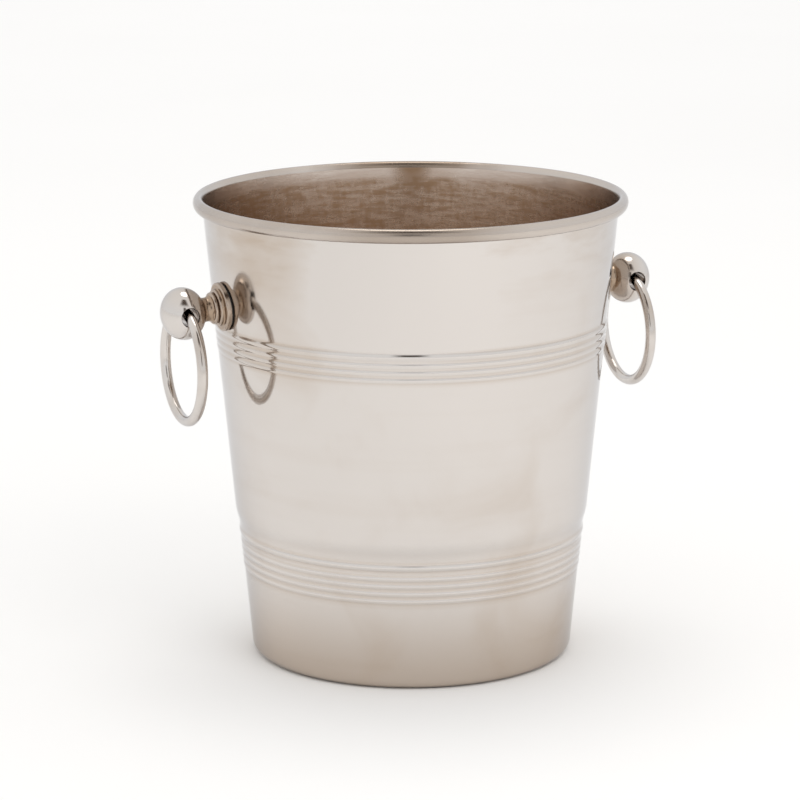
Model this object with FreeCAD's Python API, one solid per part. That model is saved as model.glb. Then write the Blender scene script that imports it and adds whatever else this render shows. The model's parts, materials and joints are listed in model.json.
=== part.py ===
"""Champagne bucket: a tapered spun shell, its rim rolled round an oval wire, with two bands of ribs and a ring
handle on each side. Each ring hangs in a turned knob, which a screw holds to the wall from inside, through seals.

Millimetres. +Z is up, the origin is the centre of the foot's underside, and the handles lie along X.
"""
import FreeCAD
import Part
import math
import os
from FreeCAD import Vector

# ---- driving dimensions: shell ----
HEIGHT = 222.4
RIM_DIAMETER = 206.8
BASE_RADIUS = 76.9          # outer wall produced down to the table
STEP_OUT = 1.1              # how far the wall steps out above the lower band of ribs
STEP_LOW, STEP_HIGH = 62.5, 73.0
SHEET = 0.8
WIRE_HALF_WIDTH, WIRE_HALF_HEIGHT = 1.7, 2.5   # the oval wire inside the rolled rim
WIRE_END_RADIUS = 1.25      # the wire's section at its top and bottom
WIRE_SLACK = 0.02
LIP_ANGLE = -125.0          # where the roll ends under the wire, in degrees; 0 is outwards and 90 is up
CORNER_RADIUS = 5.0         # outside bend from wall to foot
FOOT_INNER_RADIUS = 64.0    # the foot is a flat ring outside this radius
PUNT_RADIUS = 58.0          # inside this radius the bottom is a raised flat panel
PUNT_HEIGHT = 4.0
PUNT_BEND = 2.5

# ---- driving dimensions: two bands of ribs pressed out of the wall, each with a broader rib at its top ----
RIB_WIDTH, RIB_HEIGHT = 2.4, 0.3
TOP_RIB_WIDTH, TOP_RIB_HEIGHT = 3.4, 0.5
RIB_BANDS = (                # (lowest rib's height, ribs, pitch, extra gap under the top rib)
    (43.7, 5, 3.7, 1.7),
    (151.0, 4, 3.5, 0.5),
)

# ---- driving dimensions: handles; "out" is the distance from the wall's outer face along the knob's axis ----
HANDLE_Z = 175.2            # where the knob's axis meets the wall
BALL_OUT = 20.4
BALL_HALF_LENGTH = 10.5
BALL_RADIUS = 12.4
RING_RADIUS = 26.2          # to the middle of the bar
BAR_RADIUS = 2.5
BAR_CLEARANCE = 0.2
MOUTH_FLARE = 0.7           # rounding where the ring's hole leaves the ball
GASKET = 0.6
ESCUTCHEON_STEPS = ((11.5, 2.7), (8.7, 4.7))   # (radius, front face out)
ESCUTCHEON_EDGE = 0.8
SHOULDER_RADIUS = 7.6
SHOULDER_LENGTH = 2.2
NECK_RADIUS = 5.7
NECK_OUT = 9.2
NECK_TOP_RADIUS = 6.2       # where the neck runs into the ball

# ---- driving dimensions: fixing, an M5 screw from inside ----
SCREW_RADIUS = 2.5
THREAD_SLACK = 0.03
WALL_HOLE_RADIUS = 2.8
TAPPED_DEPTH_OUT = 15.2
SCREW_END_OUT = 14.2
SEAL_THICKNESS, SEAL_RADIUS = 1.0, 7.0
BACKING_THICKNESS, BACKING_RADIUS = 1.6, 8.0
LOCK_THICKNESS, LOCK_INNER, LOCK_OUTER, LOCK_GAP = 1.2, 2.6, 4.6, 0.9
HEAD_RADIUS, HEAD_HEIGHT = 4.75, 2.8
SOCKET_ACROSS_FLATS, SOCKET_DEPTH = 3.0, 1.6
FACE_GAP = 0.02             # left between faces that bear on each other

# ---- derived ----
WIRE_CENTRE_R = RIM_DIAMETER / 2 - SHEET - WIRE_HALF_WIDTH
WIRE_CENTRE_Z = HEIGHT - SHEET - WIRE_HALF_HEIGHT
END_SHIFT = WIRE_HALF_HEIGHT - WIRE_END_RADIUS
WIRE_SIDE_RADIUS = ((WIRE_HALF_WIDTH ** 2 + END_SHIFT ** 2 - WIRE_END_RADIUS ** 2)
                    / (2 * (WIRE_HALF_WIDTH - WIRE_END_RADIUS)))
SIDE_SHIFT = WIRE_SIDE_RADIUS - WIRE_HALF_WIDTH
OVAL_JOIN = math.degrees(math.atan2(END_SHIFT, SIDE_SHIFT))   # where the oval's side arcs meet its end arcs


def wall_taper():
    """The wall's lean from the vertical, in radians, so that its outer face touches the side of the rim wire."""
    run = WIRE_CENTRE_R + SIDE_SHIFT - BASE_RADIUS - STEP_OUT
    slant = math.hypot(run, WIRE_CENTRE_Z)
    return math.atan2(run, WIRE_CENTRE_Z) - math.asin(WIRE_SIDE_RADIUS / slant)


TAPER = wall_taper()
WALL_UP = Vector(math.sin(TAPER), 0, math.cos(TAPER))
WALL_OUT = Vector(math.cos(TAPER), 0, -math.sin(TAPER))


def on_wall(z, depth=0.0):
    """A point of the wall's section in the XZ plane, at height z on the outer face and then depth inside it.
    The wall below the step is parallel to the wall above it."""
    above_step = z > (STEP_LOW + STEP_HIGH) / 2
    foot = Vector(BASE_RADIUS + (STEP_OUT if above_step else 0.0), 0, 0)
    return foot + WALL_UP * (z / math.cos(TAPER)) - WALL_OUT * depth


KNOB_SEAT = on_wall(HANDLE_Z)
BALL_CENTRE = KNOB_SEAT + WALL_OUT * BALL_OUT
Z_AXIS = (Vector(0, 0, 0), Vector(0, 0, 1))


def spin(edges, base, axis):
    """The solid made by turning a closed outline about an axis."""
    face = Part.Face(Part.Wire(Part.__sortEdges__(edges)))
    solid = face.revolve(base, axis, 360)
    return solid if solid.Volume > 0 else solid.reversed()


def line(a, b):
    return Part.makeLine(a, b)


def arc(a, middle, b):
    return Part.Arc(a, middle, b).toShape()


# ---- shell ----

def ribs():
    """Each rib's centre height, width and height, from the bottom up."""
    found = []
    for lowest, count, pitch, top_gap in RIB_BANDS:
        found += [(lowest + pitch * i, RIB_WIDTH, RIB_HEIGHT) for i in range(count - 1)]
        found.append((lowest + pitch * (count - 1) + top_gap, TOP_RIB_WIDTH, TOP_RIB_HEIGHT))
    return found


def rib_arc(z, width, height, depth):
    """A rib on one face of the wall: (first point, crest, last point). The two faces share a centre, so the
    sheet keeps its thickness and the rib is hollow behind."""
    outer_arc = (width ** 2 / 4 + height ** 2) / (2 * height)
    radius = outer_arc - depth
    half_width = math.sqrt(radius ** 2 - (outer_arc - height - depth) ** 2)
    middle = on_wall(z, depth)
    return middle - WALL_UP * half_width, middle + WALL_OUT * height, middle + WALL_UP * half_width


def step_arcs(depth):
    """The S bend between the lower and upper wall: two equal arcs that meet smoothly."""
    low, high = on_wall(STEP_LOW, depth), on_wall(STEP_HIGH, depth)
    along, across = (high - low).dot(WALL_UP), (high - low).dot(WALL_OUT)
    radius = (along ** 2 + across ** 2) / (4 * across)
    half_turn = math.asin(along / 2 / radius) / 2
    crest = WALL_UP * (radius * math.sin(half_turn)) + WALL_OUT * (radius * (1 - math.cos(half_turn)))
    middle = (low + high) / 2
    return (low, low + crest, middle), (middle, high - crest, high)


def wall_edges(start, end, depth):
    """One face of the wall from start up to end, with its ribs and its step."""
    ribs_and_step = [[rib_arc(*rib, depth)] for rib in ribs()] + [step_arcs(depth)]
    edges, last = [], start
    for arcs in sorted(ribs_and_step, key=lambda arcs: arcs[0][0].z):
        edges.append(line(last, arcs[0][0]))
        edges += [arc(*points) for points in arcs]
        last = arcs[-1][2]
    return edges + [line(last, end)]


def bend(corner, towards_a, towards_b, radius):
    """The arc that rounds a corner between two straight runs: (first point, middle, last point)."""
    half = towards_a.getAngle(towards_b) / 2
    reach = radius / math.tan(half)
    inward = (towards_a.normalize() + towards_b.normalize()).normalize()
    centre = corner + inward * (radius / math.sin(half))
    return corner + towards_a * reach, centre - inward * radius, corner + towards_b * reach


def bottom_face(depth):
    """The bends of one face of the bottom, from the wall in to the axis, depth inside the outer face."""
    slope = Vector(PUNT_RADIUS - FOOT_INNER_RADIUS, 0, PUNT_HEIGHT)
    lean = slope.getAngle(Vector(-1, 0, 0))
    shift = depth * math.tan(lean / 2)
    heel = Vector(on_wall(depth, depth).x, 0, depth)
    foot_in = Vector(FOOT_INNER_RADIUS + shift, 0, depth)
    punt = Vector(PUNT_RADIUS + shift, 0, PUNT_HEIGHT + depth)
    left, right = Vector(-1, 0, 0), Vector(1, 0, 0)
    bends = [bend(heel, Vector(WALL_UP), left, CORNER_RADIUS - depth),
             bend(foot_in, Vector(right), Vector(slope), PUNT_BEND - depth),
             bend(punt, slope.negative(), Vector(left), PUNT_BEND + depth)]
    return bends, Vector(0, 0, PUNT_HEIGHT + depth)


def bottom_edges(depth):
    bends, middle = bottom_face(depth)
    edges = [arc(*b) for b in bends]
    edges += [line(a[2], b[0]) for a, b in zip(bends, bends[1:])]
    edges.append(line(bends[-1][2], middle))
    return edges, bends[0][0], middle


def rim_arc(shift_out, shift_up, radius, start, end):
    """An arc of the rim's section, its centre placed from the wire's middle and its ends in degrees."""
    centre = Vector(WIRE_CENTRE_R + shift_out, 0, WIRE_CENTRE_Z + shift_up)
    turns = [math.radians(degrees) for degrees in (start, (start + end) / 2, end)]
    return [centre + Vector(math.cos(turn), 0, math.sin(turn)) * radius for turn in turns]


def around_wire(outside, start, end):
    """Arcs round the oval wire, this far outside its face: on the wall's side, over the top, down the outside and
    under the bottom."""
    side_radius, end_radius = WIRE_SIDE_RADIUS + outside, WIRE_END_RADIUS + outside
    return [rim_arc(SIDE_SHIFT, 0, side_radius, start, 180 - OVAL_JOIN),
            rim_arc(0, END_SHIFT, end_radius, 180 - OVAL_JOIN, OVAL_JOIN),
            rim_arc(-SIDE_SHIFT, 0, side_radius, OVAL_JOIN, -OVAL_JOIN),
            rim_arc(0, -END_SHIFT, end_radius, -OVAL_JOIN, end)]


def bucket_shell():
    outer, outer_heel, outer_middle = bottom_edges(0.0)
    inner, inner_heel, inner_middle = bottom_edges(SHEET)
    against_wire, outside_wire = (around_wire(depth, 180 - math.degrees(TAPER), LIP_ANGLE) for depth in (0.0, SHEET))
    outer += wall_edges(outer_heel, against_wire[0][0], 0.0)
    inner += wall_edges(inner_heel, outside_wire[0][0], SHEET)
    curl = [arc(*points) for points in against_wire + outside_wire]
    lip = line(against_wire[-1][-1], outside_wire[-1][-1])
    shell = spin(outer + inner + curl + [lip, line(outer_middle, inner_middle)], *Z_AXIS)
    for side in (1, -1):
        shell = shell.cut(place(stub(WALL_HOLE_RADIUS, -5.0, 5.0), side))
    return shell


def rim_wire():
    oval = around_wire(-WIRE_SLACK, 180 + OVAL_JOIN, OVAL_JOIN - 180)
    return spin([arc(*points) for points in oval], *Z_AXIS)


def cone_shell(inside, outside, low, high):
    """The space between two faces parallel to the wall's outer face, at depths inside and outside."""
    corners = [on_wall(low, inside), on_wall(high, inside), on_wall(high, outside), on_wall(low, outside)]
    return spin([line(a, b) for a, b in zip(corners, corners[1:] + corners[:1])], *Z_AXIS)


# ---- handle pieces, made on the +X side ----

def place(shape, side):
    """The piece on the +X side, or on the -X side, half a turn round the bucket."""
    if side > 0:
        return shape
    turned = shape.copy()
    turned.rotate(Vector(0, 0, 0), Vector(0, 0, 1), 180)
    return turned


def out(distance, radius=0.0):
    """A point on the knob's section: distance out from the wall, radius from the knob's axis."""
    return KNOB_SEAT + WALL_OUT * distance + WALL_UP * radius


def stub(radius, start, end):
    """A round bar on the knob's axis."""
    return Part.makeCylinder(radius, end - start, out(start), WALL_OUT)


def turned(edges):
    return spin(edges, KNOB_SEAT, WALL_OUT)


def against_wall(shape, inside, outside):
    """What is left of a piece between two faces parallel to the wall, so that it sits flush on the curve."""
    reach = 2 * ESCUTCHEON_STEPS[0][0]
    return shape.common(cone_shell(inside, outside, HANDLE_Z - reach, HANDLE_Z + reach))


def ring_hole_radius():
    """A straight hole just wide enough for the curved bar to pass and swing."""
    rise = RING_RADIUS - math.sqrt(RING_RADIUS ** 2 - BALL_RADIUS ** 2)
    return BAR_RADIUS + rise / 2 + BAR_CLEARANCE, rise


def knob():
    seat = ESCUTCHEON_STEPS[-1][1] + FACE_GAP
    shoulder_end = seat + SHOULDER_LENGTH
    bead = SHOULDER_LENGTH / 2
    join = BALL_OUT - BALL_HALF_LENGTH * math.sqrt(1 - (NECK_TOP_RADIUS / BALL_RADIUS) ** 2)
    ball = Part.Ellipse(out(BALL_OUT, BALL_RADIUS), out(BALL_OUT + BALL_HALF_LENGTH), out(BALL_OUT))
    u_join = ball.parameter(out(join, NECK_TOP_RADIUS))
    u_end = ball.parameter(out(BALL_OUT + BALL_HALF_LENGTH))
    ends = sorted((u_join, u_end if abs(u_end - u_join) < math.pi else u_end + 2 * math.pi))
    body = turned([
        line(out(seat), out(seat, SHOULDER_RADIUS - bead)),
        arc(out(seat, SHOULDER_RADIUS - bead), out(seat + bead, SHOULDER_RADIUS),
            out(shoulder_end, SHOULDER_RADIUS - bead)),
        arc(out(shoulder_end, SHOULDER_RADIUS - bead), out(NECK_OUT, NECK_RADIUS), out(join, NECK_TOP_RADIUS)),
        Part.ArcOfEllipse(ball, *ends).toShape(),
        line(out(BALL_OUT + BALL_HALF_LENGTH), out(seat))])
    hole_radius, _ = ring_hole_radius()
    across = Vector(0, 1, 0)
    hole = Part.makeCylinder(hole_radius, 4 * BALL_RADIUS, BALL_CENTRE - across * (2 * BALL_RADIUS), across)
    body = body.cut(hole)
    mouths = [e for e in body.Edges if abs(e.CenterOfMass.y) > BALL_RADIUS / 2]
    body = body.makeFillet(MOUTH_FLARE, mouths)
    return body.cut(stub(SCREW_RADIUS + THREAD_SLACK, 0.0, TAPPED_DEPTH_OUT))


def handle_ring():
    _, rise = ring_hole_radius()
    centre = BALL_CENTRE - Vector(0, 0, RING_RADIUS - rise / 2)
    return Part.makeTorus(RING_RADIUS, BAR_RADIUS, centre, Vector(1, 0, 0))


def escutcheon():
    steps, last = None, -3.0
    for radius, face in ESCUTCHEON_STEPS:
        disc = stub(radius, last, face)
        rims = [e for e in disc.Edges if e.isClosed() and abs((e.CenterOfMass - out(face)).Length) < 0.01]
        disc = disc.makeFillet(ESCUTCHEON_EDGE, rims)
        steps = disc if steps is None else steps.fuse(disc)
        last = face - ESCUTCHEON_EDGE
    steps = steps.removeSplitter().cut(stub(WALL_HOLE_RADIUS, -6.0, 10.0))
    return against_wall(steps, -(GASKET + FACE_GAP), -10.0)


def gasket():
    ring = stub(ESCUTCHEON_STEPS[0][0] - 0.8, -4.0, 4.0).cut(stub(WALL_HOLE_RADIUS, -5.0, 5.0))
    return against_wall(ring, -FACE_GAP, -GASKET)


def inner_seal():
    ring = stub(SEAL_RADIUS, -6.0, 2.0).cut(stub(WALL_HOLE_RADIUS, -7.0, 3.0))
    return against_wall(ring, SHEET + SEAL_THICKNESS, SHEET + FACE_GAP)


def backing_face():
    return -(SHEET + SEAL_THICKNESS + BACKING_THICKNESS)


def backing_washer():
    washer = stub(BACKING_RADIUS, backing_face(), 2.0).cut(stub(WALL_HOLE_RADIUS, -9.0, 3.0))
    return against_wall(washer, 20.0, SHEET + SEAL_THICKNESS + FACE_GAP)


def lock_washer():
    """A spring washer, pressed flat by the screw, split at the top."""
    face = backing_face() - FACE_GAP
    washer = stub(LOCK_OUTER, face - LOCK_THICKNESS, face).cut(stub(LOCK_INNER, face - 9.0, face + 3.0))
    slit = Part.makeBox(LOCK_GAP, 3 * LOCK_OUTER, 3 * LOCK_THICKNESS)
    slit.translate(Vector(-LOCK_GAP / 2, 0, -1.5 * LOCK_THICKNESS))
    turn = FreeCAD.Rotation(Vector(0, 1, 0), WALL_UP, WALL_OUT)
    frame = FreeCAD.Placement(out(face - LOCK_THICKNESS / 2), turn)
    slit.Placement = frame.multiply(slit.Placement)
    return washer.cut(slit)


def screw():
    """A button-head screw; its thread is left plain."""
    under_head = backing_face() - 2 * FACE_GAP - LOCK_THICKNESS
    top = under_head - HEAD_HEIGHT
    crown = SOCKET_ACROSS_FLATS
    head = turned([line(out(under_head), out(under_head, HEAD_RADIUS)),
                   arc(out(under_head, HEAD_RADIUS), out(under_head - 0.7 * HEAD_HEIGHT, 0.85 * HEAD_RADIUS),
                       out(top, crown)),
                   line(out(top, crown), out(top)),
                   line(out(top), out(under_head))])
    corners = []
    for i in range(7):
        turn = math.radians(60 * i)
        reach = SOCKET_ACROSS_FLATS / math.sqrt(3)
        corners.append(out(top, reach * math.cos(turn)) + Vector(0, reach * math.sin(turn), 0))
    socket = Part.Face(Part.makePolygon(corners)).extrude(WALL_OUT * SOCKET_DEPTH)
    return head.cut(socket).fuse(stub(SCREW_RADIUS, under_head, SCREW_END_OUT)).removeSplitter()


HANDLE_PIECES = {
    "ring": handle_ring,
    "knob": knob,
    "escutcheon": escutcheon,
    "outer_gasket": gasket,
    "inner_seal": inner_seal,
    "backing_washer": backing_washer,
    "lock_washer": lock_washer,
    "screw": screw,
}
SIDES = {"right": 1, "left": -1}


def main():
    os.makedirs("parts", exist_ok=True)
    pieces = {"bucket_shell": bucket_shell(), "rim_wire": rim_wire()}
    for piece, make in HANDLE_PIECES.items():
        shape = make()
        for side, sign in SIDES.items():
            pieces[side + "_" + piece] = place(shape, sign)
    for name, shape in pieces.items():
        shape.exportStep(os.path.join("parts", name + ".step"))
        box = shape.BoundBox
        print(f"{name:24s} valid {shape.isValid()} solids {len(shape.Solids)} volume {shape.Volume:10.1f}"
              f"  x {box.XMin:8.2f} {box.XMax:8.2f}  y {box.YMin:8.2f} {box.YMax:8.2f}"
              f"  z {box.ZMin:8.2f} {box.ZMax:8.2f}")
    print("taper in degrees", math.degrees(TAPER), "ball centre", BALL_CENTRE, "ring hole", ring_hole_radius())


main()
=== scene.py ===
"""Looks of the champagne bucket: silver plate with spinning lines, tarnish and wear, on a pale floor.

Every turned piece is a profile revolved about its own axis. The shell's profile is in metres from the
bucket's axis and the floor. A handle piece's is in metres from its knob's axis and along it from the wall.
"""
import json
import math

import bpy
from mathutils import Matrix, Quaternion, Vector, noise


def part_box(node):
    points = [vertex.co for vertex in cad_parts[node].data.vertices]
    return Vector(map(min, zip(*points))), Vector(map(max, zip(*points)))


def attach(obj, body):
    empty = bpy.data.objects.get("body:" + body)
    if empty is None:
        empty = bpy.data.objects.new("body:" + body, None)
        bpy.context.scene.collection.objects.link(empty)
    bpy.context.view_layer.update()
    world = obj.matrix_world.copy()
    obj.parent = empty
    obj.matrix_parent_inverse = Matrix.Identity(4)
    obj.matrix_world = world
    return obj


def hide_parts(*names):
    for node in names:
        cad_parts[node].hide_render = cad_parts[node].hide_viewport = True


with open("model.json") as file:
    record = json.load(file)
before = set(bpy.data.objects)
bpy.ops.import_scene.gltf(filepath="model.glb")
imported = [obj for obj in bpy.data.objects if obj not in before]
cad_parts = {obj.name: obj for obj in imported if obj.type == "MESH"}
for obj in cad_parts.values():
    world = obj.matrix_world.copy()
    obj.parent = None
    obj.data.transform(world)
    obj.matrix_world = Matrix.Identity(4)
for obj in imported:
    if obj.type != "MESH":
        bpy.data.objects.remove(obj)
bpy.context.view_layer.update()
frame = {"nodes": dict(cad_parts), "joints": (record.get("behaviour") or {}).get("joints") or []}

# ---- from the frame ----
shell_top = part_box("bucket_shell")[1]
HEIGHT = shell_top.z
RIM_RADIUS = min(shell_top.x, shell_top.y)
BALL_CENTRE = Vector(next(j["pos_m"] for j in frame["joints"] if j["name"] == "right_ring_swing"))

# ---- shell, as in the part ----
BASE_RADIUS = 0.0769
STEP_OUT = 0.0011
STEP_LOW, STEP_HIGH = 0.0625, 0.073
SHEET = 0.0008
WIRE_HALF_WIDTH, WIRE_HALF_HEIGHT = 0.0017, 0.0025
WIRE_END_RADIUS = 0.00125
LIP_ANGLE = -125
CORNER_RADIUS = 0.005
FOOT_INNER_RADIUS = 0.064
PUNT_RADIUS = 0.058
PUNT_HEIGHT = 0.004
PUNT_BEND = 0.0025
RIB_WIDTH, RIB_HEIGHT = 0.0024, 0.0003
TOP_RIB_WIDTH, TOP_RIB_HEIGHT = 0.0034, 0.0005
# Each band: the height of its lowest rib, how many ribs, their pitch, and the extra gap below the top one.
RIB_BANDS = ((0.0437, 5, 0.0037, 0.0017), (0.1510, 4, 0.0035, 0.0005))
WIRE_CENTRE_R = RIM_RADIUS - SHEET - WIRE_HALF_WIDTH
WIRE_CENTRE_Z = HEIGHT - SHEET - WIRE_HALF_HEIGHT
END_SHIFT = WIRE_HALF_HEIGHT - WIRE_END_RADIUS
WIRE_SIDE_RADIUS = ((WIRE_HALF_WIDTH ** 2 + END_SHIFT ** 2 - WIRE_END_RADIUS ** 2)
                    / (2 * (WIRE_HALF_WIDTH - WIRE_END_RADIUS)))
SIDE_SHIFT = WIRE_SIDE_RADIUS - WIRE_HALF_WIDTH
OVAL_JOIN = math.degrees(math.atan2(END_SHIFT, SIDE_SHIFT))
WALL_RUN = WIRE_CENTRE_R + SIDE_SHIFT - BASE_RADIUS - STEP_OUT
TAPER = (math.atan2(WALL_RUN, WIRE_CENTRE_Z)
         - math.asin(WIRE_SIDE_RADIUS / math.hypot(WALL_RUN, WIRE_CENTRE_Z)))
WALL_UP = Vector((math.sin(TAPER), 0, math.cos(TAPER)))
WALL_OUT = Vector((math.cos(TAPER), 0, -math.sin(TAPER)))

# ---- handles, as in the part ----
BALL_OUT = 0.0204
BALL_HALF_LENGTH = 0.0105
BALL_RADIUS = 0.0124
RING_RADIUS = 0.0262
BAR_RADIUS = 0.0025
BAR_CLEARANCE = 0.0002
MOUTH_FLARE, FLARE_STRETCH, FLARE_END = 0.0007, 1.6, 2.2
PAST_BALL = 1.2
GASKET = 0.0006
STEP_RADII, STEP_FACES = (0.0115, 0.0087), (0.0027, 0.0047)
STEP_EDGE, STEP_COVE, BACK_EDGE = 0.0008, 0.0006, 0.0002
PLATE_HOLE_RADIUS = 0.0028
SHOULDER_RADIUS, SHOULDER_LENGTH = 0.0076, 0.0022
NECK_RADIUS, NECK_OUT = 0.0057, 0.0092
NECK_TOP_RADIUS = 0.0062
SCREW_HOLE_RADIUS = 0.00253
TAPPED_START, TAPPED_DEPTH_OUT, TAPPED_CONE = 0.001, 0.0152, 0.0008
FACE_GAP = 0.00002
KNOB_SEAT = BALL_CENTRE - WALL_OUT * BALL_OUT
HALF_TURNS = {"right": 0.0, "left": math.pi}

# ---- mesh detail ----
SHELL_STEPS = 256
SMALL_STEPS = 144
CROSS_HOLE_STEPS, TAPPED_HOLE_STEPS = 96, 48
RING_STEPS, BAR_STEPS = 240, 40
SHOULDER_ROWS, NECK_ROWS, BALL_ROWS, FLARE_ROWS = 20, 24, 72, 10
WIRE_ROWS, ROLL_ROWS = 10, 16
# The ribs are this many times wider than in the part, because they ease into the wall.
RIB_EASE = 1.25
COARSE_ROW = 0.005
FINE_ROW = 0.0003
ROW_GROWTH = 0.7
SHARP_ANGLE = math.radians(38)
CREVICE_REACH, CREVICE_DEPTH = 0.0012, 0.00012
TINY = 1e-7

# ---- unevenness left by hand work ----
LONG_SWELL, LONG_CELLS = 0.00006, 28
SHORT_SWELL, SHORT_CELLS = 0.000012, 75
EVEN_RADIUS, EVEN_BELOW_RIM, SWELL_FADE = 0.05, 0.008, 0.02
JOINT_GROOVE, JOINT_HALF_WIDTH = 0.02, 0.0004
BAR_WOBBLE = 0.004

# ---- colours, and where the tarnish, painted shade and painted highlight lie ----
SILVER, TARNISH, EDGE = (0.69, 0.65, 0.617), (0.52, 0.43, 0.35), (0.80, 0.81, 0.83)
DULL_SILVER, DULL_TARNISH, GRIME_AND_SHADE = (0.70, 0.61, 0.54), (0.41, 0.275, 0.18), (0.40, 0.30, 0.22)
WORN_SILVER, WORN_TARNISH = (0.60, 0.54, 0.49), (0.33, 0.26, 0.205)
OPENING_CLOTH, CEILING_CLOTH = (0.11, 0.095, 0.085), (0.10, 0.075, 0.06)
# Each patch: its bearing in degrees, height, reach and strength, which is negative where it lightens. On the
# wall, a stain and a painted highlight towards the camera; on the rim, painted shade on its near and far
# sides, towards and away from the camera; inside, painted shade just below the far rim.
WALL_STAIN_AND_HIGHLIGHT = ((-64, 0.200, 0.038, 0.4), (-28, 0.196, 0.060, -0.6))
RIM_PAINTED_SHADE = ((-23, 0.220, 0.060, 0.6), (157, 0.220, 0.060, 1.0))
INSIDE_PAINTED_SHADE = ((157, 0.220, 0.014, 1.0),)
# Heights where the darkening starts and is full: on the foot, painted shade near the floor in the tarnish
# colour; below the rim and inside, tarnish.
FOOT_SHADE_TOP = 0.055
RIM_TARNISH_START, RIM_TARNISH_FULL = 0.17, 0.22
DEEP_INSIDE, UPPER_INSIDE = 0.05, 0.15
# How far below the rim the scouring starts and is full.
SCOURED_BELOW_RIM, SCOURED_FULLY = 0.006, 0.0105
# How far out from the wall the knobs' painted shade, given in the tarnish colour with their grime, ends and
# is full.
WALL_SHADE_ENDS_OUT, WALL_SHADE_FULL_OUT = 0.024, 0.010

# ---- camera and stage ----
CAMERA_TURN = math.radians(-22.97)
CAMERA_DISTANCE = 1.65
CAMERA_HEIGHT = 0.4903
CAMERA_ROLL = math.radians(-0.15)
AIM_SIDE = -0.0053
AIM_HEIGHT = 0.1218
LENS = 158.1
SENSOR = 36.0
KEY_TURN = math.radians(32)
FLOOR_HALF_WIDTH, FLOOR_DROP = 30.0, 0.0001
CARD_SOFT_ENDS, CARD_FULL_WIDTH = 0.2, 0.2


# ---- profiles: lists of (radius, height) ----

def arc_points(centre, radius, start, end, count):
    """Points of an arc from start to end degrees, counted from the radius direction towards the height."""
    found = []
    for i in range(count + 1):
        turn = math.radians(start + (end - start) * i / count)
        found.append((centre[0] + radius * math.cos(turn), centre[1] + radius * math.sin(turn)))
    return found


def rounded_corner(before, corner, after, radius, count=8):
    """The points of an arc that rounds a corner of a profile."""
    a = (Vector(before) - Vector(corner)).normalized()
    b = (Vector(after) - Vector(corner)).normalized()
    half = a.angle(b) / 2
    centre = Vector(corner) + (a + b).normalized() * (radius / math.sin(half))
    first = Vector(corner) + a * (radius / math.tan(half)) - centre
    last = Vector(corner) + b * (radius / math.tan(half)) - centre
    return [tuple(centre + first.slerp(last, i / count).normalized() * radius) for i in range(count + 1)]


def step_out(z):
    """How far the wall has stepped out at this height, along two equal arcs."""
    along = min(1.0, max(0.0, (z - STEP_LOW) / (STEP_HIGH - STEP_LOW)))
    return STEP_OUT * (2 * along ** 2 if along < 0.5 else 1 - 2 * (1 - along) ** 2)


def ribs():
    """Each rib's height above the floor, its width and how far it stands out."""
    found = []
    for lowest, count, pitch, top_gap in RIB_BANDS:
        found += [(lowest + pitch * i, RIB_WIDTH, RIB_HEIGHT) for i in range(count - 1)]
        found.append((lowest + pitch * (count - 1) + top_gap, TOP_RIB_WIDTH, TOP_RIB_HEIGHT))
    return found


def rib_lift(z):
    """How far the ribs press the wall out at this height. Each one eases in past its own width."""
    lift = 0.0
    for middle, width, height in ribs():
        share = (z - middle) / (width * RIB_EASE)
        if abs(share) < 0.5:
            lift += height * (0.5 + 0.5 * math.cos(2 * math.pi * share))
    return lift


def on_wall(z, depth=0.0):
    """A point of the wall's section: z is the height on its outer face, and depth is inside that face."""
    inside = depth - rib_lift(z)
    radius = BASE_RADIUS + step_out(z) + z * math.tan(TAPER)
    return (radius - inside * WALL_OUT.x, z - inside * WALL_OUT.z)


def wall_stations(low, high):
    """Heights up the wall, close together over the ribs and the step."""
    bends = [(middle, width * RIB_EASE / 2, FINE_ROW) for middle, width, _ in ribs()]
    bends.append(((STEP_LOW + STEP_HIGH) / 2, (STEP_HIGH - STEP_LOW) / 2, 2 * FINE_ROW))
    stations, z = [], low
    while z < high - FINE_ROW:
        stations.append(z)
        row = COARSE_ROW
        for middle, reach, fine in bends:
            row = min(row, max(fine, (abs(z - middle) - reach) * ROW_GROWTH))
        z += row
    return stations + [high]


def wall_points(low, high, depth):
    return [on_wall(z, depth) for z in wall_stations(low, high)]


def bottom_points(depth):
    """One face of the bottom, from the axis out to the start of the wall."""
    slope = math.atan2(PUNT_HEIGHT, FOOT_INNER_RADIUS - PUNT_RADIUS)
    shift = depth * math.tan(slope / 2)
    middle = (0.0, PUNT_HEIGHT + depth)
    punt = (PUNT_RADIUS + shift, PUNT_HEIGHT + depth)
    foot = (FOOT_INNER_RADIUS + shift, depth)
    heel = (BASE_RADIUS + depth * math.tan(TAPER) - depth / math.cos(TAPER), depth)
    up = on_wall(RIB_BANDS[0][0] / 2, depth)
    flat = [(punt[0] * i / 6, middle[1]) for i in range(6)]
    return (flat + rounded_corner(middle, punt, foot, PUNT_BEND + depth)
            + rounded_corner(punt, foot, heel, PUNT_BEND - depth)
            + rounded_corner(foot, heel, up, CORNER_RADIUS - depth, 12))


def around_wire(outside, count):
    """Points round the rim wire's oval section, this far outside its face. They go up its inner side from
    where the wall touches it, over the top, down the outside and under the bottom to the lip."""
    side, end = WIRE_SIDE_RADIUS + outside, WIRE_END_RADIUS + outside
    touch = 180 - math.degrees(TAPER)
    points = []
    for across, up, radius, first, last in ((SIDE_SHIFT, 0, side, touch, 180 - OVAL_JOIN),
                                            (0, END_SHIFT, end, 180 - OVAL_JOIN, OVAL_JOIN),
                                            (-SIDE_SHIFT, 0, side, OVAL_JOIN, -OVAL_JOIN),
                                            (0, -END_SHIFT, end, -OVAL_JOIN, LIP_ANGLE)):
        centre = (WIRE_CENTRE_R + across, WIRE_CENTRE_Z + up)
        points += arc_points(centre, radius, first, last, count)[bool(points):]
    return points


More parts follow.
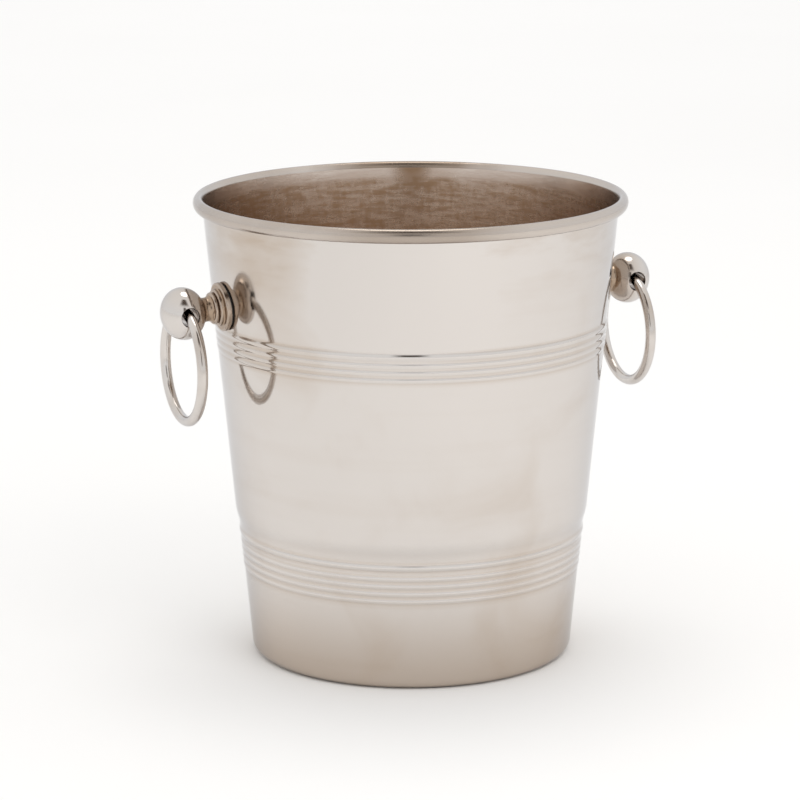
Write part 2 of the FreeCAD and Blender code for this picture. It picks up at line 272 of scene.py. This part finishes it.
def shell_profile():
    """The sheet's whole section, and the numbers of the points where its roll and its inner face start."""
    top = WIRE_CENTRE_Z - WIRE_SIDE_RADIUS * WALL_OUT.z
    outer, inner = bottom_points(0.0), bottom_points(SHEET)
    low = outer[-1][1]
    outer += wall_points(low, top, 0.0)[1:]
    inner += wall_points(low, top, SHEET)[1:]
    outside = outer + around_wire(0.0, WIRE_ROWS)[1:] + around_wire(SHEET, ROLL_ROWS)[::-1]
    return outside + inner[::-1][1:], len(outer) - 1, len(outside) - 1


def knob_profile():
    """The knob's section from its seat on the plate: a rounded shoulder, a waisted neck and an oval ball."""
    seat = STEP_FACES[-1] + FACE_GAP
    bead = SHOULDER_LENGTH / 2
    inner = SHOULDER_RADIUS - bead
    shoulder = [(inner + bead * math.sin(a), seat + bead * (1 - math.cos(a)))
                for a in (math.pi * i / SHOULDER_ROWS for i in range(SHOULDER_ROWS + 1))]
    join = -math.sqrt(1 - (NECK_TOP_RADIUS / BALL_RADIUS) ** 2)
    neck_top = (NECK_TOP_RADIUS, BALL_OUT + BALL_HALF_LENGTH * join)
    neck = through_three(shoulder[-1], (NECK_RADIUS, NECK_OUT), neck_top, NECK_ROWS)
    first = math.asin(join)
    ball = [(BALL_RADIUS * math.cos(a), BALL_OUT + BALL_HALF_LENGTH * math.sin(a))
            for a in (first + (math.pi / 2 - first) * i / BALL_ROWS for i in range(BALL_ROWS + 1))]
    ball[-1] = (0.0, ball[-1][1])
    return [(0.0, seat), (inner / 2, seat)] + shoulder + neck[1:-1] + ball


def through_three(a, b, c, count):
    """Points of the arc from a through b to c."""
    a, b, c = Vector(a), Vector(b), Vector(c)
    d = 2 * ((b - a).x * (c - a).y - (b - a).y * (c - a).x)
    ab, ac = (b - a).length_squared, (c - a).length_squared
    centre = a + Vector((((c - a).y * ab - (b - a).y * ac), ((b - a).x * ac - (c - a).x * ab))) / d
    first, last = a - centre, c - centre
    return [tuple(centre + first.slerp(last, i / count).normalized() * first.length)
            for i in range(count + 1)]


# ---- meshes ----

def crevices(profile, closed):
    """How hollow a profile is at each point, from 0 to 1, judged over a millimetre or so each way."""
    found = []
    count = len(profile)
    for i, point in enumerate(profile):
        here = Vector(point)
        ends = []
        for step in (-1, 1):
            j, gone, last = i, 0.0, here
            while gone < CREVICE_REACH and (closed or 0 <= j + step < count):
                j = (j + step) % count
                gone += (Vector(profile[j]) - last).length
                last = Vector(profile[j])
            ends.append(last)
        along = ends[1] - ends[0]
        if along.length < TINY:
            found.append(0.0)
            continue
        outward = Vector((along.y, -along.x)).normalized()
        hollow = ((ends[0] + ends[1]) / 2 - here).dot(outward)
        found.append(max(0.0, min(1.0, hollow / CREVICE_DEPTH)))
    return found


def add_mesh(name, verts, faces):
    """A mesh object in the scene."""
    mesh = bpy.data.meshes.new(name)
    mesh.from_pydata(verts, [], faces)
    made = bpy.data.objects.new(name, mesh)
    bpy.context.scene.collection.objects.link(made)
    return made


def add_piece(name, verts, faces, hollow):
    """A smooth piece. Its attribute "crevice" says how hollow it is at each point, for its material."""
    piece = add_mesh(name, verts, faces)
    piece.data.attributes.new("crevice", "FLOAT", "POINT").data.foreach_set("value", hollow)
    smooth(piece)
    return piece


def lathe(name, profile, steps, closed=False, warp=None):
    """A profile turned about the local Z axis. A closed profile is a loop, as on a washer, and an open one
    starts and ends on the axis. The profile runs up the outside, so that its faces look outwards."""
    rings, verts, hollow = [], [], []
    for (radius, z), crevice in zip(profile, crevices(profile, closed)):
        if radius < TINY:
            rings.append([len(verts)] * steps)
            verts.append(Vector((0, 0, z)))
            hollow.append(crevice)
            continue
        rings.append(list(range(len(verts), len(verts) + steps)))
        for i in range(steps):
            turn = 2 * math.pi * i / steps
            verts.append(Vector((radius * math.cos(turn), radius * math.sin(turn), z)))
            hollow.append(crevice)
    if warp:
        verts = [warp(v) for v in verts]
    faces = []
    for low, high in zip(rings, rings[1:] + (rings[:1] if closed else [])):
        for i in range(steps):
            j = (i + 1) % steps
            corners = [low[i], low[j], high[j], high[i]]
            faces.append(list(dict.fromkeys(corners)))
    return add_piece(name, verts, faces, hollow)


def smooth(piece):
    """Smooth shading that keeps real edges sharp."""
    piece.data.shade_smooth()
    piece.data.set_sharp_from_angle(angle=SHARP_ANGLE)


def cut(piece, *tools):
    """Takes the tools' space out of a piece."""
    for tool in tools:
        modifier = piece.modifiers.new("cut", "BOOLEAN")
        modifier.object = tool
        modifier.solver = "EXACT"
        modifier.operation = "DIFFERENCE"
    evaluated = piece.evaluated_get(bpy.context.evaluated_depsgraph_get())
    mesh = bpy.data.meshes.new_from_object(evaluated)
    piece.modifiers.clear()
    piece.data = mesh
    for tool in tools:
        bpy.data.objects.remove(tool)
    smooth(piece)
    return piece


def settle(piece, matrix=Matrix()):
    """Moves a piece's mesh to its place. The attribute "lay" keeps each point's place about the piece's own
    axis, for its material."""
    lay = piece.data.attributes.new("lay", "FLOAT_VECTOR", "POINT")
    lay.data.foreach_set("vector", [number for vertex in piece.data.vertices for number in vertex.co])
    piece.data.transform(matrix)
    return piece


def handle_matrix(side):
    """Places a handle piece: local Z is the knob's axis and local X is up the wall."""
    across = WALL_OUT.cross(WALL_UP)
    turn = Matrix((WALL_UP, across, WALL_OUT)).transposed().to_4x4()
    return Matrix.Rotation(HALF_TURNS[side], 4, "Z") @ Matrix.Translation(KNOB_SEAT) @ turn


def wall_drop(x, y):
    """Where the wall's outer face is along the knob's axis, x up the wall and y across. The wall is a cone,
    so this distance d is a root of a d^2 + 2 b d + y^2 = 0."""
    radius = (KNOB_SEAT + WALL_UP * x).x
    a = math.cos(TAPER) ** 2 - (math.sin(TAPER) * math.tan(TAPER)) ** 2
    b = radius / math.cos(TAPER)
    return (math.sqrt(b * b - a * y * y) - b) / a


# ---- pieces ----

def spun_shell():
    """The whole sheet. Its faces' material numbers are 0 outside, 1 on the roll and 2 inside."""
    profile, roll_start, inner_start = shell_profile()

    def by_hand(v):
        """The slight unevenness of a shell spun and polished by hand."""
        swell = (noise.noise(v * LONG_CELLS) * LONG_SWELL
                 + noise.noise(v * SHORT_CELLS + Vector((3, 1, 2))) * SHORT_SWELL)
        outward = Vector((v.x, v.y, 0))
        below_rim = max(0.0, HEIGHT - EVEN_BELOW_RIM - v.z)
        share = min(1.0, v.z / SWELL_FADE, below_rim / SWELL_FADE)
        return v + outward.normalized() * swell * share if outward.length > EVEN_RADIUS else v

    shell = lathe("spun_shell", profile, SHELL_STEPS, warp=by_hand)
    for face in shell.data.polygons:
        row = face.index // SHELL_STEPS
        face.material_index = 2 if row >= inner_start else 1 if row >= roll_start else 0
    return settle(shell)


def cross_hole():
    """The space of the hole that a ring hangs in, across the ball and out past it. It has room for the bar's
    own curve, and its mouths flare."""
    rise = RING_RADIUS - math.sqrt(RING_RADIUS ** 2 - BALL_RADIUS ** 2)
    hole = BAR_RADIUS + rise / 2 + BAR_CLEARANCE
    depth = BALL_RADIUS * PAST_BALL
    mouth = math.sqrt(BALL_RADIUS ** 2 - hole ** 2)
    flare = [(hole + MOUTH_FLARE * (1 - math.cos(a)),
              mouth - 2 * MOUTH_FLARE + MOUTH_FLARE * math.sin(a) * FLARE_STRETCH)
             for a in (math.pi / 2 * i / FLARE_ROWS for i in range(FLARE_ROWS + 1))]
    half = [(hole, 0.0)] + flare + [(hole + FLARE_END * MOUTH_FLARE, depth)]
    outline = [(0.0, -depth)] + [(r, -y) for r, y in half[::-1]] + half[1:] + [(0.0, depth)]
    space = lathe("cross_hole", outline, CROSS_HOLE_STEPS)
    space.matrix_world = Matrix.Translation((0, 0, BALL_OUT)) @ Matrix.Rotation(math.pi / 2, 4, "X")
    return space


def tapped_hole():
    """The space of the screw's hole, with a shallow cone at its end."""
    outline = [(0.0, TAPPED_START), (SCREW_HOLE_RADIUS, TAPPED_START),
               (SCREW_HOLE_RADIUS, TAPPED_DEPTH_OUT), (0.0, TAPPED_DEPTH_OUT + TAPPED_CONE)]
    return lathe("tapped_hole", outline, TAPPED_HOLE_STEPS)


def turned_knob(side):
    """The shoulder, neck and ball, with the ring's cross hole and the screw's tapped hole."""
    knob = lathe("knob", knob_profile(), SMALL_STEPS)
    cut(knob, cross_hole(), tapped_hole())
    knob.name = side + "_turned_knob"
    return settle(knob, handle_matrix(side))


def stepped_plate(side):
    """The plate behind the knob, with eased edges and a small cove where the steps meet."""
    (wide, narrow), (low, high) = STEP_RADII, STEP_FACES
    profile = [(PLATE_HOLE_RADIUS, 0.0), (wide - BACK_EDGE, 0.0), (wide, BACK_EDGE)]
    profile += rounded_corner((wide, 0.0), (wide, low), (narrow, low), STEP_EDGE, 10)
    profile += rounded_corner((wide, low), (narrow, low), (narrow, high), STEP_COVE, 8)
    profile += rounded_corner((narrow, low), (narrow, high), (PLATE_HOLE_RADIUS, high), STEP_EDGE, 10)
    profile += [(PLATE_HOLE_RADIUS, high)]

    def saddle(v):
        """Fits the plate's back to the wall."""
        seat = wall_drop(v.x, v.y) + GASKET + FACE_GAP
        share = max(0.0, 1 - v.z / low)
        return Vector((v.x, v.y, v.z + seat * share))

    plate = lathe(side + "_stepped_plate", profile, SMALL_STEPS, closed=True, warp=saddle)
    return settle(plate, handle_matrix(side))


def hanging_ring(side):
    """A ring of polished bar, closed by a brazed joint that turns up inside the knob."""
    verts, faces, hollow = [], [], []
    for i in range(RING_STEPS):
        turn = 2 * math.pi * i / RING_STEPS
        here, ahead = i * BAR_STEPS, (i + 1) % RING_STEPS * BAR_STEPS
        from_joint = abs((turn + math.pi) % (2 * math.pi) - math.pi) * RING_RADIUS
        groove = math.exp(-(from_joint / JOINT_HALF_WIDTH) ** 2)
        wobble = noise.noise(Vector((math.cos(turn), math.sin(turn), 7)) * 2)
        bar = BAR_RADIUS * (1 - JOINT_GROOVE * groove) * (1 - BAR_WOBBLE * wobble)
        for k in range(BAR_STEPS):
            lean = 2 * math.pi * k / BAR_STEPS
            beside = (k + 1) % BAR_STEPS
            radius = RING_RADIUS + bar * math.cos(lean)
            verts.append(Vector((radius * math.cos(turn), radius * math.sin(turn), bar * math.sin(lean))))
            hollow.append(groove)
            faces.append([here + k, ahead + k, ahead + beside, here + beside])
    ring = add_piece(side + "_hanging_ring", verts, faces, hollow)
    low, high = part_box(side + "_ring")
    return settle(ring, Matrix.Translation((low + high) / 2) @ Matrix.Rotation(-math.pi / 2, 4, "Y"))


# ---- materials ----

def feed(made, inputs):
    """Gives a node's inputs their values or their incoming links."""
    for key, value in inputs.items():
        if isinstance(value, bpy.types.NodeSocket):
            made.id_data.links.new(value, made.inputs[key])
        else:
            made.inputs[key].default_value = value


def node(tree, kind, inputs, **settings):
    """Adds a node, with its settings and its inputs."""
    made = tree.nodes.new(kind)
    for key, value in settings.items():
        setattr(made, key, value)
    feed(made, inputs)
    return made


def maths(tree, operation, a, b=0.0, c=0.0):
    """The result of one sum of numbers or sockets."""
    return node(tree, "ShaderNodeMath", {0: a, 1: b, 2: c}, operation=operation).outputs[0]


def plus(tree, a, b, share=1.0):
    """a, and this share of b."""
    return maths(tree, "MULTIPLY_ADD", b, share, a)


def fade(tree, value, low, high):
    """0 below low, 1 above high, and smooth between."""
    made = node(tree, "ShaderNodeMapRange", {"Value": value, "From Min": low, "From Max": high},
                interpolation_type="SMOOTHSTEP")
    return made.outputs["Result"]


def mixed(tree, share, a, b):
    """Colour a where the share is 0 and colour b where it is 1."""
    made = node(tree, "ShaderNodeMix", {0: share, 6: (*a, 1), 7: (*b, 1)}, data_type="RGBA")
    return made.outputs[2]


def blotches(tree, place, scale, detail, distortion=0.0):
    """Noise of the same size each way."""
    made = node(tree, "ShaderNodeTexNoise", {"Vector": place, "Scale": scale, "Detail": detail,
                                             "Distortion": distortion})
    return made.outputs[0]


def bumps(tree, height, distance, strength=1.0):
    made = node(tree, "ShaderNodeBump", {"Strength": strength, "Distance": distance, "Height": height})
    return made.outputs[0]


def object_place(tree):
    return node(tree, "ShaderNodeTexCoord", {}).outputs["Object"]


def new_material(name):
    """A material, its node tree and its shader."""
    material = bpy.data.materials.new(name)
    material.use_nodes = True
    tree = material.node_tree
    tree.nodes.clear()
    shader = node(tree, "ShaderNodeBsdfPrincipled", {})
    node(tree, "ShaderNodeOutputMaterial", {0: shader.outputs[0]})
    return material, tree, shader


class SilverCoat:
    """Silver plate on a piece spun or turned about its own axis: fine lines round the axis, hairline
    scratches, soft clouds of warm tarnish, and grime left in the crevices. The functions below it add the
    tarnish and marks of each piece, and the painted shade and painted highlight that they carry in the same
    tarnish share."""

    def __init__(self, name, clouds, grime):
        self.material, self.tree, self.shader = new_material(name)
        tree = self.tree
        self.place = node(tree, "ShaderNodeAttribute", {}, attribute_name="lay").outputs["Vector"]
        self.x, self.y, self.up = node(tree, "ShaderNodeSeparateXYZ", {0: self.place}).outputs
        flat = node(tree, "ShaderNodeCombineXYZ", {0: self.x, 1: self.y}).outputs[0]
        radius = node(tree, "ShaderNodeVectorMath", {0: flat}, operation="LENGTH").outputs["Value"]
        self.along = maths(tree, "ADD", self.up, radius)
        self.fine_lines = self.strokes(25, 2600, 4)
        self.scratches = self.hairlines()
        crevice = node(tree, "ShaderNodeAttribute", {}, attribute_name="crevice").outputs["Fac"]
        cloud = plus(tree, fade(tree, blotches(tree, self.place, 17, 4, 0.6), 0.45, 0.75),
                     fade(tree, self.strokes(6, 90, 2), 0.45, 0.75), 0.25)
        self.tarnish = plus(tree, maths(tree, "MULTIPLY", cloud, clouds), crevice, grime)
        lines = plus(tree, maths(tree, "MULTIPLY", self.strokes(9, 420, 3), 2.0), self.fine_lines, 0.25)
        self.height = plus(tree, lines, self.scratches, -0.5)

    def strokes(self, across, up, detail):
        """Noise with this many cells a metre across the surface and up it."""
        at = node(self.tree, "ShaderNodeCombineXYZ", {0: maths(self.tree, "MULTIPLY", self.x, across),
                                                      1: maths(self.tree, "MULTIPLY", self.y, across),
                                                      2: maths(self.tree, "MULTIPLY", self.along, up)})
        made = node(self.tree, "ShaderNodeTexNoise", {"Vector": at.outputs[0], "Scale": 1.0,
                                                      "Detail": detail, "Roughness": 0.6})
        return made.outputs[0]

    def hairlines(self):
        """Scratches along the edges of cells, in patches."""
        cells = node(self.tree, "ShaderNodeTexVoronoi", {"Vector": self.place, "Scale": 160.0},
                     feature="DISTANCE_TO_EDGE")
        patches = fade(self.tree, blotches(self.tree, self.place, 60, 3, 2.0), 0.55, 0.72)
        return maths(self.tree, "MULTIPLY", fade(self.tree, cells.outputs[0], 0.012, 0.0), patches)

    def add_tarnish_and_painted_light(self, where, share):
        self.tarnish = plus(self.tree, self.tarnish, where, share)

    def add_relief(self, where, share):
        self.height = plus(self.tree, self.height, where, share)

    # Patches round points by the rim: a stain, painted highlight where the strength is negative, and painted
    # shade.
    def add_stains_and_painted_light(self, stains_and_painted_light):
        for bearing, height, reach, strength in stains_and_painted_light:
            middle = towards(math.radians(bearing), RIM_RADIUS, height)
            away = node(self.tree, "ShaderNodeVectorMath", {0: self.place, 1: middle}, operation="DISTANCE")
            uneven = blotches(self.tree, self.place, 45, 3)
            ragged = plus(self.tree, away.outputs["Value"], uneven, 0.3 * reach)
            self.add_tarnish_and_painted_light(fade(self.tree, ragged, 1.15 * reach, 0.35 * reach), strength)

    def finish(self, clean, tarnished, roughness, line_depth=1.0):
        """The material, with its colours, how blurred its mirror is, and how deep its lines are."""
        tree = self.tree
        # The tarnish share also carries the painted shade and painted highlight that the pieces add.
        tarnish = maths(tree, "MAXIMUM", maths(tree, "MINIMUM", self.tarnish, 1.0), 0.0)
        rough = maths(tree, "MULTIPLY_ADD", tarnish, 0.10, roughness)
        rough = plus(tree, rough, fade(tree, self.fine_lines, 0.35, 0.8), 0.03)
        feed(self.shader, {"Base Color": mixed(tree, tarnish, clean, tarnished),
                           "Roughness": plus(tree, rough, self.scratches, 0.15),
                           "Normal": bumps(tree, self.height, 0.000004 * line_depth),
                           "Metallic": 1.0,
                           "Specular Tint": (*EDGE, 1)})
        return self.material


def shell_silver():
    """The outside, darker at its foot with painted shade near the floor in the tarnish colour, tarnished in
    a broken band below its rim, and with a stain and a painted highlight towards the camera.
    """
    coat = SilverCoat("shell_silver", clouds=0.3, grime=0.35)
    tree = coat.tree
    # Painted shade: the foot darkens towards the floor in the tarnish colour.
    coat.add_tarnish_and_painted_light(fade(tree, coat.up, FOOT_SHADE_TOP, 0.0), 0.75)
    below_rim = fade(tree, coat.up, RIM_TARNISH_START, RIM_TARNISH_FULL)
    patches = fade(tree, coat.strokes(26, 90, 3), 0.4, 0.7)
    coat.add_tarnish_and_painted_light(maths(tree, "MULTIPLY", below_rim, patches), 0.375)
    # A stain, and a painted highlight on the upper wall towards the camera.
    coat.add_stains_and_painted_light(WALL_STAIN_AND_HIGHLIGHT)
    return coat.finish(SILVER, TARNISH, roughness=0.05)


def rim_silver():
    """The roll round the rim, dulled by wear, with painted shade on its near and far sides."""
    coat = SilverCoat("rim_silver", clouds=0.35, grime=0.3)
    # Painted shade on the rim's near and far sides, towards and away from the camera.
    coat.add_stains_and_painted_light(RIM_PAINTED_SHADE)
    return coat.finish(WORN_SILVER, WORN_TARNISH, roughness=0.16)


def inside_silver():
    """The inside, with short strokes of a scouring pad, and most tarnish in its upper half."""
    coat = SilverCoat("inside_silver", clouds=0.3, grime=0.2)
    tree = coat.tree
    # Painted shade just below the far rim, inside.
    coat.add_stains_and_painted_light(INSIDE_PAINTED_SHADE)
    pad = plus(tree, coat.strokes(90, 420, 3), coat.strokes(400, 140, 2), 0.5)
    pad_marks = maths(tree, "MULTIPLY", fade(tree, pad, 0.5, 1.0), 0.7)
    upper = plus(tree, 0.6, fade(tree, coat.up, DEEP_INSIDE, UPPER_INSIDE), 0.4)
    pad_tarnish = maths(tree, "MULTIPLY", maths(tree, "ADD", pad_marks, 0.35), upper)
    below_rim = fade(tree, coat.up, HEIGHT - SCOURED_BELOW_RIM, HEIGHT - SCOURED_FULLY)
    coat.add_tarnish_and_painted_light(maths(tree, "MULTIPLY", pad_tarnish, below_rim), 0.9)
    coat.add_relief(pad, 5.0)
    coat.add_relief(blotches(tree, coat.place, 230, 3, 0.4), 6.0)
    return coat.finish(DULL_SILVER, DULL_TARNISH, roughness=0.2, line_depth=1.5)


def fitting_silver():
    """Knobs and plates, brown towards the wall: painted shade and a painted reflection of the wall, given in
    the tarnish colour.
    """
    coat = SilverCoat("fitting_silver", clouds=0.35, grime=0.9)
    # Painted shade and painted reflection of the wall, darkening the knobs and plates towards it.
    coat.add_tarnish_and_painted_light(fade(coat.tree, coat.up, WALL_SHADE_ENDS_OUT, WALL_SHADE_FULL_OUT), 0.75)
    return coat.finish(SILVER, GRIME_AND_SHADE, roughness=0.08, line_depth=0.6)


def ring_silver():
    """The rings, with the most patches of tarnish."""
    coat = SilverCoat("ring_silver", clouds=0.5, grime=0.8)
    return coat.finish(SILVER, GRIME_AND_SHADE, roughness=0.07, line_depth=0.5)


def plain_metal(name, colour, roughness):
    """Steel or iron that nobody polishes: brushed and slightly uneven."""
    material, tree, shader = new_material(name)
    place = object_place(tree)
    grain = blotches(tree, place, 1400.0, 4.0)
    patch = fade(tree, blotches(tree, place, 180.0, 3.0), 0.35, 0.7)
    darker = tuple(c * 0.72 for c in colour)
    feed(shader, {"Base Color": mixed(tree, patch, colour, darker),
                  "Roughness": plus(tree, roughness, grain, 0.15),
                  "Normal": bumps(tree, grain, 0.00001, 0.6),
                  "Metallic": 1.0})
    return material


def rubber():
    """Black rubber of the gaskets and seals."""
    material, tree, shader = new_material("seal_rubber")
    grain = blotches(tree, object_place(tree), 2500.0, 3.0)
    feed(shader, {"Base Color": mixed(tree, grain, (0.018, 0.018, 0.018), (0.05, 0.048, 0.046)),
                  "Roughness": plus(tree, 0.55, grain, 0.25),
                  "Normal": bumps(tree, grain, 0.00002, 0.5)})
    return material


def floor_paint():
    """Matte white studio floor."""
    material, tree, shader = new_material("floor_paint")
    cloud = blotches(tree, object_place(tree), 2.5, 3.0)
    feed(shader, {"Base Color": mixed(tree, cloud, (0.93, 0.925, 0.92), (0.95, 0.947, 0.943)),
                  "Roughness": 0.9,
                  "Specular IOR Level": 0.1})
    return material


def card_cloth(name, colour, half_width, low, high):
    """Dark cloth whose edges fade away, most of the way to the middle at its sides."""
    material, tree, shader = new_material(name)
    across, _, up = node(tree, "ShaderNodeSeparateXYZ", {0: object_place(tree)}).outputs
    soft = (high - low) * CARD_SOFT_ENDS
    sides = fade(tree, maths(tree, "ABSOLUTE", across), half_width, half_width * CARD_FULL_WIDTH)
    ends = maths(tree, "MULTIPLY", fade(tree, up, low, low + soft), fade(tree, up, high, high - soft))
    feed(shader, {"Base Color": (*colour, 1),
                  "Roughness": 1.0,
                  "Alpha": maths(tree, "MULTIPLY", sides, ends)})
    return material


# ---- stage ----

def add_floor():
    edge = FLOOR_HALF_WIDTH
    corners = [(-edge, -edge, 0), (edge, -edge, 0), (edge, edge, 0), (-edge, edge, 0)]
    floor = add_mesh("floor", corners, [(0, 1, 2, 3)])
    floor.location.z = -FLOOR_DROP
    floor.data.materials.append(floor_paint())


def towards(turn, distance, height):
    """A point at this bearing from the bucket, counted as the camera's is."""
    return Vector((math.sin(turn) * distance, -math.cos(turn) * distance, height))


def add_dark_card(name, distance, half_width, low, high, colour):
    """A dark cloth that only reflections show, on the camera's bearing and square to it."""
    corners = [(-half_width, 0, low), (half_width, 0, low), (half_width, 0, high), (-half_width, 0, high)]
    card = add_mesh(name, corners, [(0, 1, 2, 3)])
    card.location = towards(CAMERA_TURN, distance, 0)
    card.rotation_euler.z = CAMERA_TURN
    card.visible_camera = False
    card.visible_diffuse = False
    card.visible_shadow = False
    card.data.materials.append(card_cloth(name + "_cloth", colour, half_width, low, high))


def add_cards():
    """The tent's dark opening behind the camera, and the dark gap above it."""
    add_dark_card("tent_opening", CAMERA_DISTANCE + 0.15, half_width=0.40, low=0.32, high=1.5,
                  colour=OPENING_CLOTH)
    add_dark_card("ceiling_gap", CAMERA_DISTANCE - 0.1, half_width=1.3, low=1.2, high=5.6,
                  colour=CEILING_CLOTH)


def area_light(name, place, aim, size, power, colour):
    """A round lamp that the camera doesn't see."""
    light = bpy.data.lights.new(name, "AREA")
    light.shape = "DISK"
    light.size = size
    light.energy = power
    light.color = colour
    lamp = bpy.data.objects.new(name, light)
    bpy.context.scene.collection.objects.link(lamp)
    lamp.location = place
    lamp.rotation_mode = "QUATERNION"
    lamp.rotation_quaternion = (Vector(aim) - Vector(place)).to_track_quat("-Z", "Y")
    lamp.visible_camera = False
    return lamp


def add_lights():
    """A lamp above, a key lamp to one side of the camera, and one that whitens the floor far behind."""
    behind = CAMERA_TURN + math.pi
    area_light("overhead", towards(behind, 0.45, 2.1), aim=(0, 0, 0.1), size=1.0, power=5.0,
               colour=(1.0, 0.985, 0.96))
    key = area_light("key", towards(CAMERA_TURN + KEY_TURN, 1.0, 0.95), aim=(0, 0, 0), size=0.8, power=2.2,
                     colour=(1.0, 0.97, 0.95))
    back = area_light("back", towards(behind, 3.2, 2.2), aim=(0, 4, 0), size=2.5, power=6.0,
                      colour=(1.0, 1.0, 1.0))
    for lamp in (key, back):
        lamp.visible_glossy = False


def add_world():
    """The white tent, slightly cooler near the floor and warmer above."""
    world = bpy.data.worlds.new("tent")
    bpy.context.scene.world = world
    world.use_nodes = True
    tree = world.node_tree
    tree.nodes.clear()
    place = node(tree, "ShaderNodeTexCoord", {}).outputs["Generated"]
    up = node(tree, "ShaderNodeSeparateXYZ", {0: place}).outputs[2]
    colour = mixed(tree, fade(tree, up, 0.05, 0.9), (0.97, 0.985, 1.0), (1.0, 0.99, 0.975))
    background = node(tree, "ShaderNodeBackground", {0: colour, 1: 0.95})
    node(tree, "ShaderNodeOutputWorld", {0: background.outputs[0]})


def add_camera():
    data = bpy.data.cameras.new("camera")
    data.lens = LENS
    data.sensor_width = SENSOR
    data.clip_start, data.clip_end = 0.1, 100.0
    camera = bpy.data.objects.new("camera", data)
    bpy.context.scene.collection.objects.link(camera)
    camera.location = towards(CAMERA_TURN, CAMERA_DISTANCE, CAMERA_HEIGHT)
    aim = Vector((math.cos(CAMERA_TURN), math.sin(CAMERA_TURN), 0)) * AIM_SIDE + Vector((0, 0, AIM_HEIGHT))
    camera.rotation_mode = "QUATERNION"
    look = (aim - camera.location).to_track_quat("-Z", "Y")
    camera.rotation_quaternion = look @ Quaternion((0, 0, 1), CAMERA_ROLL)
    bpy.context.scene.camera = camera


# ---- assembly ----

def finish_piece(piece, body, slot, materials, *nodes):
    """Gives a piece its materials and its body, and hides the CAD nodes that it stands for. Its slot is not
    used.
    """
    for material in materials:
        piece.data.materials.append(material)
    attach(piece, body)
    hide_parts(*nodes)


def dress(node_name, material):
    """Gives a CAD node its material."""
    shown = frame["nodes"][node_name]
    for holder in shown.material_slots:
        holder.material = material


def main():
    fittings, rings, seals = fitting_silver(), ring_silver(), rubber()
    washer_steel = plain_metal("washer_steel", (0.55, 0.55, 0.54), 0.32)
    screw_steel = plain_metal("screw_steel", (0.60, 0.60, 0.59), 0.22)

    shell_materials = (shell_silver(), rim_silver(), inside_silver())
    finish_piece(spun_shell(), "bucket", "silver_shell", shell_materials, "bucket_shell")
    dress("rim_wire", plain_metal("wire_iron", (0.34, 0.33, 0.32), 0.45))

    for side in HALF_TURNS:
        finish_piece(turned_knob(side), "bucket", "silver_fittings", (fittings,), side + "_knob")
        finish_piece(stepped_plate(side), "bucket", "silver_fittings", (fittings,), side + "_escutcheon")
        finish_piece(hanging_ring(side), side + "_handle", "silver_rings", (rings,), side + "_ring")
        for name, material in (("outer_gasket", seals), ("inner_seal", seals),
                               ("backing_washer", washer_steel), ("lock_washer", washer_steel),
                               ("screw", screw_steel)):
            dress(side + "_" + name, material)

    add_floor()
    add_cards()
    add_world()
    add_lights()
    add_camera()
    bpy.context.scene.view_settings.view_transform = "Standard"


main()
